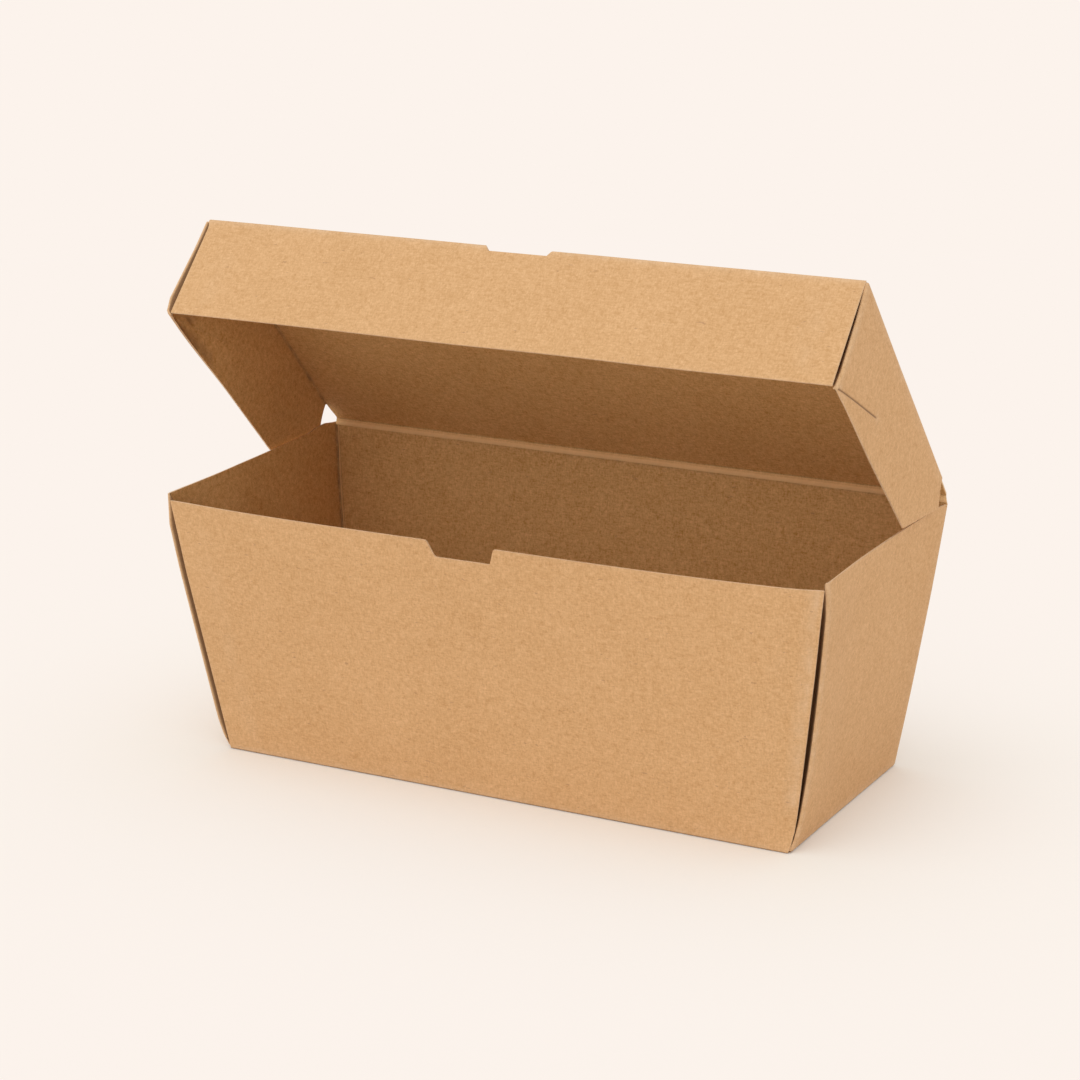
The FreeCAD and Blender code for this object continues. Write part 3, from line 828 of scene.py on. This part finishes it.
def front_place(x, height):
    """A point of the front wall's outer face. Its right end has spread, and curls back."""
    from_end = side_at(height) - CORNER_GAP - x
    shift = end_shift(height)
    spread_out = END_SPREAD * shift * (1.0 - ease(0.0, SPREAD_REACH, from_end))
    spread_out *= 1.0 - RIM_HELD * ease(RIM_HOLD_START, FRONT_HEIGHT, height)
    curl = END_CURL * shift * (1.0 - ease(0.0, CURL_REACH, from_end))
    return settle(Vector((x + spread_out, curl - end_at(height) - front_bow(x, height), height)))


def front_wall(sheet, shares, rim_half):
    """The front wall with its base fold and its finger notch."""
    arc = fold_arc(BASE_DEPTH / 2, END_LEAN)
    foot = arc[-1][1]
    grid = []
    for number, (across, up) in enumerate(arc):
        half = FLAT_HALF if number == 0 else side_at(up) - CORNER_GAP
        line = []
        for share in shares:
            moved = front_place(share * half, up) - front_place(share * half, 0.0)
            bent = Vector((moved.x, moved.y + end_at(up) - end_at(0.0), 0.0))
            line.append(Vector((share * half, -across, up)) + bent)
        grid.append(line)
    for rise in shares_of(FRONT_HEIGHT)[1:]:
        row = []
        for share in shares:
            height = mix(foot, FRONT_HEIGHT - notch_drop(share * rim_half), rise)
            x = share * (side_at(height) - CORNER_GAP)
            row.append(front_place(x, height))
        grid.append(row)
    sheet.panel(grid)


def base_panel(sheet, shares, front_y, back_y):
    """The base, with rows that meet those of the side walls."""
    rows = [front_y] + [wall_y(share, 0.0) for share in SIDE_SHARES]
    rows = [y for y in rows if y < back_y - LAST_ROW_GAP] + [back_y]
    sheet.panel([[settle(Vector((share * FLAT_HALF, y, 0.0))) for share in shares] for y in rows])


def back_ends(height, foot_half, top_half):
    """Half lengths, left and right, of the back wall and the hinge band at a height."""
    rise = min(1.0, height / WALL_HEIGHT)
    widen = ease(WALL_HEIGHT, WALL_HEIGHT + BAND_WIDENING, height)
    near_top = ease(WALL_HEIGHT - WALL_ROWS_END, WALL_HEIGHT - ROOT_END, height)
    ends = {}
    for side, root in ((-1, 0.0), (1, (BAND_ROOT - top_half[1]) * near_top)):
        wall_half = mix(foot_half[side], top_half[side], rise) + root
        wall_half += BAND_FOLLOWS * rear_swell(side, height)
        ends[side] = mix(wall_half, BAND_HALF[side], widen)
    if height > WALL_HEIGHT - REAR_CORNER_DROP + CORNER_ROWS:
        share = ease(WALL_HEIGHT - BAND_FOOT_START, BAND_TOP, height)
        ends[1] = mix(BAND_FOOT, BAND_HALF[1], share)
    return ends


def back_wall(sheet, shares, arc):
    """The back wall with its base fold and the hinge band. Returns its faces."""
    foot = arc[-1][1]
    foot_half = {side: side_at(foot) - BEND - BACK_GAP[side] for side in BACK_GAP}
    top_half = {side: side_at(WALL_HEIGHT) - BEND - BACK_GAP[side] for side in BACK_GAP}
    heights = stations(foot, WALL_HEIGHT - WALL_ROWS_END)[1:]
    band = sorted(WALL_HEIGHT + line + row for line in BAND_LINES for row in BAND_LINE_ROWS)
    heights += [height for height in band if height < BAND_TOP - LAST_ROW_GAP] + [BAND_TOP]
    sides = [-1 if share < 0 else 1 for share in shares]

    def line(ends, y, height):
        return [settle(Vector((share * ends[side], y, height))) for share, side in zip(shares, sides)]

    grid = [line({-1: FLAT_HALF, 1: FLAT_HALF}, arc[0][0], 0.0)]
    grid += [line(foot_half, across - GLUE_LINE, up) for across, up in arc[1:]]
    for height in heights:
        fall = RIDGE_ABOVE if height > RIDGE_LEVEL else RIDGE_BELOW
        ridge = RIDGE_DEPTH * math.exp(-((height - RIDGE_LEVEL) / fall) ** 2)
        y = end_inner(height) - GLUE_LINE - ridge
        grid.append(line(back_ends(height, foot_half, top_half), y, height))
    return sheet.panel(grid)


def shade_band(sheet, faces):
    """Paint the hinge band paler than the wall, a painted highlight, most along its lower stripe."""
    painted_light = sheet.mesh.verts.layers.float["painted_light"]
    for vertex in {vertex for face in faces for vertex in face.verts}:
        above = vertex.co.z - RIDGE_LEVEL
        stripe = 1.0 - ease(STRIPE_HEIGHT - STRIPE_BLUR, STRIPE_HEIGHT + STRIPE_BLUR, above)
        vertex[painted_light] = (BAND_PALE + STRIPE_PALE * stripe) * ease(PALE_FROM, PALE_TO, above)


def middle_strip(sheet):
    """Base, front wall and back wall with the hinge band: one run of board from front to back."""
    rim_half = side_at(FRONT_HEIGHT) - CORNER_GAP
    notch = [
        (NOTCH_MIDDLE + side * (NOTCH_FLOOR + NOTCH_TAPER[side] * (1.0 - depth))) / rim_half
        for side in (-1, 1) for depth in NOTCH_COLUMNS
    ]
    shares = columns(extra=notch)
    front_wall(sheet, shares, rim_half)
    back_arc = fold_arc(end_inner(0.0), END_LEAN)
    base_panel(sheet, shares, -fold_arc(BASE_DEPTH / 2, END_LEAN)[0][0], back_arc[0][0])
    shade_band(sheet, back_wall(sheet, shares, back_arc))


def shade_base(sheet):
    """Paint a contact shadow on the underside of the folds that the carton stands on."""
    painted_light = sheet.mesh.verts.layers.float["painted_light"]
    for vertex in sheet.mesh.verts:
        if ON_FLOOR < vertex.co.z < BEND:
            vertex[painted_light] -= BASE_CONTACT_SHADOW * (1.0 - ease(BASE_LINE_FROM, BASE_LINE_TO, vertex.co.z))


tray_sheet = Sheet("tray_sheet", inside=TRAY_INSIDE)
middle_strip(tray_sheet)
side_strip(tray_sheet, 1)
side_strip(tray_sheet, -1)
shade_base(tray_sheet)
tray = tray_sheet.finish(Matrix.Identity(4))
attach(tray, "tray")
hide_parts("tray")


# ---------------- the lid

def lid_fold_front(drop):
    """Distance from the hinge axis of a side flap's front end, at a drop below the top panel."""
    return lid_front_at(drop) - LID_SKIN - BEND


FOLD_LINE = LID_HALF - BEND
FLAP_TOP = HALF_SKIN - BEND
NOTCH_LINE = LID_DEPTH - SLOT_REACH
BEFORE_NOTCH = (0.0, 0.3, 0.65)
HINGE_ROWS = (0.0, 0.6, 1.6, 4.0)
LENGTH_SHARES = shares_of(LID_DEPTH)
DROP_SHARES = shares_of(FLAP_DROP)
FRONT_LOW = Vector((0.0, -lid_fold_front(FLAP_DROP), HALF_SKIN - FLAP_DROP))
RELIEF_TIP = Vector((
    0.0, -RELIEF_RADIUS * math.cos(RELIEF_ANGLE), -RELIEF_RADIUS * math.sin(RELIEF_ANGLE)
))


def reaches(side):
    """Distances from the hinge axis of the columns of a side fold, from its front end back."""
    front = lid_fold_front(BEND)
    return [mix(front, NOTCH_LINE, share) for share in BEFORE_NOTCH] + [
        mix(NOTCH_LINE, RELIEF_REACH[side], share) for share in LENGTH_SHARES
    ]


def lid_settle(point):
    """The lid's slow unevenness, which dies out towards the hinge."""
    calm = ease(0.0, LID_CALM_REACH, -point.y)
    return point + Vector((0.0, 0.0, calm * LID_WAVE * wave(point, LID_WAVE_SEED)))


def lid_place(side, x, y, z, hold=None):
    """A settled point of a side flap or its tab, with its share of the corner's swelling."""
    drop = HALF_SKIN - z
    if hold is None:
        hold = 1.0 - ease(0.0, LID_SWELL_REACH, y + lid_fold_front(drop))
    out, back = lid_swell(side, drop)
    return lid_settle(Vector((side * (x + out * hold), y + back * hold, z)))


def lid_long_fold(sheet, side):
    """The fold from the top panel down to a side flap."""
    grid = []
    for reach in reaches(side):
        line = [lid_settle(Vector((side * FOLD_LINE, -reach, HALF_SKIN)))]
        for turn in CORNER_TURNS[1:]:
            x = FOLD_LINE + BEND * math.sin(turn)
            line.append(lid_place(side, x, -reach, HALF_SKIN - BEND + BEND * math.cos(turn)))
        grid.append(line)
    sheet.panel(grid)


def flap_line(side, top, low):
    """Points down a side flap, from its long fold to its lower edge."""
    return [lid_place(side, LID_HALF, *top.lerp(low, drop).yz) for drop in DROP_SHARES]


def lid_flap(sheet, side):
    """A side flap with its lifted heel, its relief cut round the hinge and its score."""
    heel = Vector((0.0, -HEEL_REACH, HALF_SKIN - HEEL_DROP + HEEL_LIFT[side]))
    under_relief = heel.lerp(RELIEF_TIP, RELIEF_FOOT)
    lines = reaches(side)
    turn = min(range(len(lines)), key=lambda number: abs(lines[number] - HEEL_REACH - HEEL_ROUND))
    grid = []
    for number, reach in enumerate(lines):
        if number <= turn:
            low = FRONT_LOW.lerp(heel, (lines[0] - reach) / (lines[0] - lines[turn]))
        else:
            low = heel.lerp(under_relief, (lines[turn] - reach) / (lines[turn] - lines[-1]))
        grid.append(flap_line(side, Vector((0.0, -reach, FLAP_TOP)), low))
    relief_top = Vector((0.0, -lines[-1], FLAP_TOP))
    bend = relief_top.lerp(RELIEF_TIP, 0.5) + RELIEF_BEND
    for step in range(1, RELIEF_STEPS + 1):
        share = step / RELIEF_STEPS
        top = relief_top.lerp(bend, share).lerp(bend.lerp(RELIEF_TIP, share), share)
        grid.append(flap_line(side, top, under_relief.lerp(RELIEF_TIP, share)))
    score_flap(sheet, sheet.panel(grid), side)


def lid_corner(sheet, side):
    """The fold from a side flap to its glue tab, and the tab behind the front flap."""
    folds, tab = [], []
    first, last = FLAP_TOP, FRONT_LOW.z
    for rise in DROP_SHARES:
        z = mix(first, last, rise)
        y = -mix(lid_fold_front(BEND), -FRONT_LOW.y, rise)
        folds.append([
            lid_place(side, FOLD_LINE + BEND * math.sin(turn), y - BEND * math.cos(turn), z, hold=1.0)
            for turn in CORNER_TURNS
        ])
        line = []
        for share in TAB_SHARES:
            start = LID_TAB_START * ease(0.0, SHOULDER_SHARE, share)
            foot = LID_TAB_FOOT * ease(0.0, SHOULDER_SHARE, share)
            z = mix(first - start - TAB_SLANT * share, last + foot + TAB_SLANT * share, rise)
            y = -(lid_front_at(HALF_SKIN - z) - LID_SKIN) + GLUE_LINE * ease(0.0, GLUED_SHARE, share)
            y += LID_TAB_DIP * tab_dip(share * LID_TAB_WIDTH)
            hold = 1.0 - ease(0.0, TAB_HOLD, share)
            line.append(lid_place(side, FOLD_LINE - share * LID_TAB_WIDTH, y, z, hold=hold))
        tab.append(line)
    sheet.panel(folds)
    shade_tab(sheet, sheet.panel(tab), side, front=True)


def lid_side(sheet, side):
    """One side flap with its long fold, the corner fold and the glue tab behind the front flap."""
    lid_long_fold(sheet, side)
    lid_flap(sheet, side)
    lid_corner(sheet, side)


def cut_score(sheet, faces, start, end, along, across):
    """Divide a side flap's faces along and beside its score, and return its faces."""
    cuts = [(start + across * SCORE_WIDTH * offset, across) for offset in SCORE_ROWS]
    cuts += [(start + along * offset, along) for offset in SCORE_START_ROWS]
    cuts += [(end + along * offset, along) for offset in SCORE_END_ROWS]
    for place, normal in cuts:
        near = [face for face in sheet.mesh.faces if face.is_valid and face in faces]
        edges = list({edge for face in near for edge in face.edges})
        verts = list({vertex for face in near for vertex in face.verts})
        made = bmesh.ops.bisect_plane(sheet.mesh, geom=near + edges + verts, plane_co=place,
                                      plane_no=normal, dist=SCORE_CUT)
        faces = {item for item in made["geom"] if isinstance(item, bmesh.types.BMFace)}
    return faces


def score_flap(sheet, faces, side):
    """Press the diagonal score into a side flap, from near its front lower corner, and paint shade along it.
    """
    start = FRONT_LOW + Vector((0.0, SCORE_START, SCORE_START))
    end = FRONT_LOW + Vector((0.0, FLAP_SCORE_RUN, FLAP_SCORE_RISE))
    length = (end - start).length
    along = (end - start).normalized()
    across = Vector((0.0, -along.z, along.y))
    faces = cut_score(sheet, faces, start, end, along, across)
    painted_light = sheet.mesh.verts.layers.float["painted_light"]
    for vertex in {vertex for face in faces for vertex in face.verts}:
        offset = vertex.co - start
        run, away = offset.dot(along), offset.dot(across)
        fade = ease(0.0, SCORE_FADE, run) * (1.0 - ease(length - SCORE_FADE, length, run))
        depth = math.exp(-(away / (SCORE_WIDTH * SCORE_BLUR)) ** 2) * fade
        vertex.co.x -= math.copysign(SCORE_DEPTH[side] * depth, vertex.co.x)
        # painted shade along the score
        vertex[painted_light] = -depth * SCORE_SHADE[side]


def lid_rows():
    """Rows of the run from the hinge to the front flap's lower edge: distance from the hinge axis
    on the left and on the right, height, half length, half width of the notch, and whether the
    notch has begun (1), goes on (2) or ends (3) at that row."""
    flat = (HALF_SKIN, FOLD_LINE, SLOT_WIDTH / 2)
    rows = [(reach, reach, *flat, 0) for reach in HINGE_ROWS]
    for left, right in reversed(list(zip(reaches(-1), reaches(1)))):
        notch = 0 if left < NOTCH_LINE - SAME_ROW else 1 if left < NOTCH_LINE + SAME_ROW else 2
        rows.append((left, right, *flat, notch))
    panel_front = LID_DEPTH - fold_back(-LID_LEAN)
    flap_half = LID_HALF - CORNER_GAP
    rows.append((panel_front, panel_front, *flat, 2))
    profile = []
    for step in range(1, FOLD_STEPS + 1):
        turn = (math.pi / 2 + LID_LEAN) * step / FOLD_STEPS
        profile.append((panel_front + BEND * math.sin(turn), HALF_SKIN - BEND + BEND * math.cos(turn)))
    skirt = LID_SKIRT * math.cos(LID_LEAN)
    slot_end = HALF_SKIN - SLOT_DROP
    profile += [(lid_front_at(HALF_SKIN - z), z) for z in (mix(profile[-1][1], slot_end, 0.5), slot_end)]
    profile += [(lid_front_at(drop), HALF_SKIN - drop) for drop in stations(SLOT_DROP, skirt)[1:]]
    for reach, z in profile:
        depth = min(SLOT_DROP, HALF_SKIN - z)
        notch = 2 if z > slot_end + SAME_ROW else 3 if z > slot_end - SAME_ROW else 0
        rows.append((reach, reach, z, flap_half, SLOT_WIDTH / 2 - SLOT_TAPER * depth / SLOT_DROP, notch))
    return rows


def lid_strip(sheet):
    """Top panel, front fold and front flap, with the notch left out across the fold."""
    rows = lid_rows()
    wings = shares_of(WING_LENGTH)
    for side in (-1, 1):
        grid = []
        for left, right, z, half, edge, _ in rows:
            outer = left if side < 0 else right
            end = half - HINGE_TAPER[side] * (1.0 - ease(0.0, RELIEF_REACH[side], outer))
            if z < HALF_SKIN - SAME_ROW:
                end -= LID_END_TRIM[side] * ease(0.0, LID_TRIM_RISE, -z) * max(0.0, 1.0 + z / FLAP_DROP)
            grid.append([
                lid_settle(Vector((side * mix(edge, end, share), -mix((left + right) / 2, outer, share), z)))
                for share in wings
            ])
        sheet.panel(grid)
    middle = [mix(-1.0, 1.0, number / MIDDLE_STEPS) for number in range(MIDDLE_STEPS + 1)]
    before, after = [], []
    for left, right, z, _, edge, notch in rows:
        line = [lid_settle(Vector((share * edge, -(left + right) / 2, z))) for share in middle]
        if notch == 3 or after:
            after.append(line)
        elif notch < 2:
            before.append(line)
    sheet.panel(before)
    sheet.panel(after)


open_lid = Matrix.Translation(HINGE) @ Matrix.Rotation(-LID_ANGLE, 4, "X")
lid_sheet = Sheet("lid_sheet", inside=LID_INSIDE)
lid_strip(lid_sheet)
lid_side(lid_sheet, 1)
lid_side(lid_sheet, -1)
lid = lid_sheet.finish(open_lid)
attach(lid, "lid")
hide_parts("lid")


# ---------------- the crease that joins them

CREASE_BOARD = BOARD * 0.8
CREASE_REACH = 0.75
CREASE_ROWS = (1.0, 0.6, 0.25)
CREASE_STEPS = 60
# how strongly the crease's fold marks show: wear outside, painted shade inside
CREASE_WEAR_AND_SHADE = 0.6
CREASE_TURN = 0.4
CREASE_INSIDE = Vector((0.0, -30.0, -20.0))


def crease():
    """The thinned board that bends round the hinge axis, from the band's top to the top panel."""
    band = Vector((0.0, -math.sin(END_LEAN), -math.cos(END_LEAN)))
    panel = Vector((0.0, -math.cos(LID_ANGLE), math.sin(LID_ANGLE)))
    path = [band * CREASE_REACH * share for share in CREASE_ROWS]
    path += [panel * CREASE_REACH * share for share in reversed(CREASE_ROWS)]
    sheet = Sheet("hinge_crease", inside=HINGE + CREASE_INSIDE)
    rows = []
    for number, offset in enumerate(path):
        ahead = (path[min(number + 1, len(path) - 1)] - path[max(number - 1, 0)]).normalized()
        out = Vector((0.0, ahead.z, -ahead.y))
        centre = HINGE + offset
        row = []
        for step in range(CREASE_STEPS + 1):
            x = mix(-BAND_HALF[-1], BAND_HALF[1], step / CREASE_STEPS)
            row.append(Vector((x, centre.y, centre.z)) + out * CREASE_BOARD / 2)
        rows.append(row)
    sheet.panel(rows)
    piece = sheet.finish(Matrix.Identity(4), thickness=CREASE_BOARD, wear_and_shade=CREASE_WEAR_AND_SHADE)
    start = tuple((HINGE + band * CREASE_TURN) * MM)
    end = tuple((HINGE + panel * CREASE_TURN) * MM)
    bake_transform(piece, "tray", "lid", start=start, end=end)


crease()


# ---------------- floor, lights and camera

BACKDROP = (0.974, 0.896, 0.839)
FLOOR_RADIUS = 4.0
FLOOR_SIDES = 96
BOUNCE = 0.85
SKY = 0.93
KEY = 0.6
KEY_SPREAD = math.radians(70)
KEY_AIM = Vector((0.2, 0.8, -1.0)).normalized()
OPEN_LIGHT = SKY - KEY * KEY_AIM.z / math.pi
SHADOW_SHARE = 0.9
SHADOW_TINT = (0.995, 1.03, 1.005)
SHADOW_REACH = 0.062

CAMERA_PLACE = Vector((0.38799, -0.71441, 0.30844))
CAMERA_YAW = math.radians(-28.82)
CAMERA_PITCH = math.radians(16.66)
CAMERA_ROLL = math.radians(-0.79)
SENSOR_WIDTH = 36.0
FOCAL_LENGTH = 100.36
CAMERA_NEAR = 0.05
CAMERA_FAR = 50.0


def camera_ray_share(tree):
    """1 for rays that show the backdrop: from the camera, in a mirror or through glass."""
    path = tree.nodes.new("ShaderNodeLightPath")
    most = path.outputs["Is Camera Ray"]
    for name in ("Is Glossy Ray", "Is Transmission Ray"):
        most = joined(tree, "MAXIMUM", most, path.outputs[name])
    return most


def mixed(tree, share, first, second):
    """A shader that is the first at a share of 0 and the second at 1."""
    node = tree.nodes.new("ShaderNodeMixShader")
    for socket, source in zip(node.inputs, (share, first, second)):
        tree.links.new(source, socket)
    return node.outputs["Shader"]


def shadow_share(tree):
    """How much of its true shadow the floor shows: most of it beside the carton, little far away."""
    place = tree.nodes.new("ShaderNodeTexCoord").outputs["Object"]
    foot = (BASE_LENGTH / 2 * MM, BASE_DEPTH / 2 * MM, 0.0)
    steps = (("ABSOLUTE", None), ("SUBTRACT", foot), ("MAXIMUM", (0.0, 0.0, 0.0)), ("LENGTH", None))
    for operation, operand in steps:
        step = node_of(tree, "ShaderNodeVectorMath", operation=operation)
        tree.links.new(place, step.inputs[0])
        if operand is not None:
            step.inputs[1].default_value = operand
        place = step.outputs["Value" if operation == "LENGTH" else "Vector"]
    for operation, operand in (("DIVIDE", -SHADOW_REACH), ("EXPONENT", None), ("MULTIPLY", SHADOW_SHARE)):
        step = node_of(tree, "ShaderNodeMath", operation=operation)
        tree.links.new(place, step.inputs[0])
        if operand is not None:
            step.inputs[1].default_value = operand
        place = step.outputs["Value"]
    return place


def studio_floor():
    """A wide pale disc that keeps the carton's shadow and is shown a little more evenly than it is lit."""
    shape = bmesh.new()
    bmesh.ops.create_circle(shape, cap_ends=True, segments=FLOOR_SIDES, radius=FLOOR_RADIUS)
    data = bpy.data.meshes.new("studio_floor")
    shape.to_mesh(data)
    shape.free()
    floor = bpy.data.objects.new("studio_floor", data)
    bpy.context.scene.collection.objects.link(floor)
    material = bpy.data.materials.new("studio_floor")
    material.use_nodes = True
    tree = material.node_tree
    tree.nodes.clear()
    output = tree.nodes.new("ShaderNodeOutputMaterial")
    shown = tuple(part * more / OPEN_LIGHT for part, more in zip(BACKDROP, SHADOW_TINT))
    bounced = tuple(part * BOUNCE for part in BACKDROP)
    bounce = node_of(tree, "ShaderNodeBsdfDiffuse", Color=(*bounced, 1.0))
    matt = node_of(tree, "ShaderNodeBsdfDiffuse", Color=(*shown, 1.0))
    glow = node_of(tree, "ShaderNodeEmission", Color=(*BACKDROP, 1.0), Strength=1.0)
    seen = mixed(tree, shadow_share(tree), glow.outputs["Emission"], matt.outputs["BSDF"])
    whole = mixed(tree, camera_ray_share(tree), bounce.outputs["BSDF"], seen)
    tree.links.new(whole, output.inputs["Surface"])
    data.materials.append(material)


def studio_light():
    """An even sky with one large soft lamp from the upper front left."""
    world = bpy.data.worlds.new("studio")
    bpy.context.scene.world = world
    world.use_nodes = True
    tree = world.node_tree
    tree.nodes.clear()
    output = tree.nodes.new("ShaderNodeOutputWorld")
    light = node_of(tree, "ShaderNodeBackground", Color=(1.0, 1.0, 1.0, 1.0), Strength=SKY)
    shown = node_of(tree, "ShaderNodeBackground", Color=(*BACKDROP, 1.0), Strength=1.0)
    both = mixed(tree, camera_ray_share(tree), light.outputs["Background"], shown.outputs["Background"])
    tree.links.new(both, output.inputs["Surface"])

    lamp = bpy.data.lights.new("key", "SUN")
    lamp.energy = KEY
    lamp.angle = KEY_SPREAD
    key_lamp = bpy.data.objects.new("key", lamp)
    key_lamp.rotation_euler = KEY_AIM.to_track_quat("-Z", "Y").to_euler()
    bpy.context.scene.collection.objects.link(key_lamp)


def front_camera():
    """The camera, from the front and a little to the right."""
    level_share, rise = math.cos(CAMERA_PITCH), -math.sin(CAMERA_PITCH)
    yaw_sin, yaw_cos = math.sin(CAMERA_YAW), math.cos(CAMERA_YAW)
    roll_sin, roll_cos = math.sin(CAMERA_ROLL), math.cos(CAMERA_ROLL)
    ahead = Vector((yaw_sin * level_share, yaw_cos * level_share, rise))
    level = Vector((yaw_cos, -yaw_sin, 0.0))
    up = level.cross(ahead)
    right = level * roll_cos + up * roll_sin
    over = up * roll_cos - level * roll_sin
    data = bpy.data.cameras.new("camera")
    data.sensor_width = SENSOR_WIDTH
    data.lens = FOCAL_LENGTH
    data.clip_start = CAMERA_NEAR
    data.clip_end = CAMERA_FAR
    camera = bpy.data.objects.new("camera", data)
    turned = Matrix((right, over, -ahead)).transposed().to_4x4()
    camera.matrix_world = Matrix.Translation(CAMERA_PLACE) @ turned
    bpy.context.scene.collection.objects.link(camera)
    bpy.context.scene.camera = camera


studio_floor()
studio_light()
front_camera()
bpy.context.scene.view_settings.view_transform = "Standard"
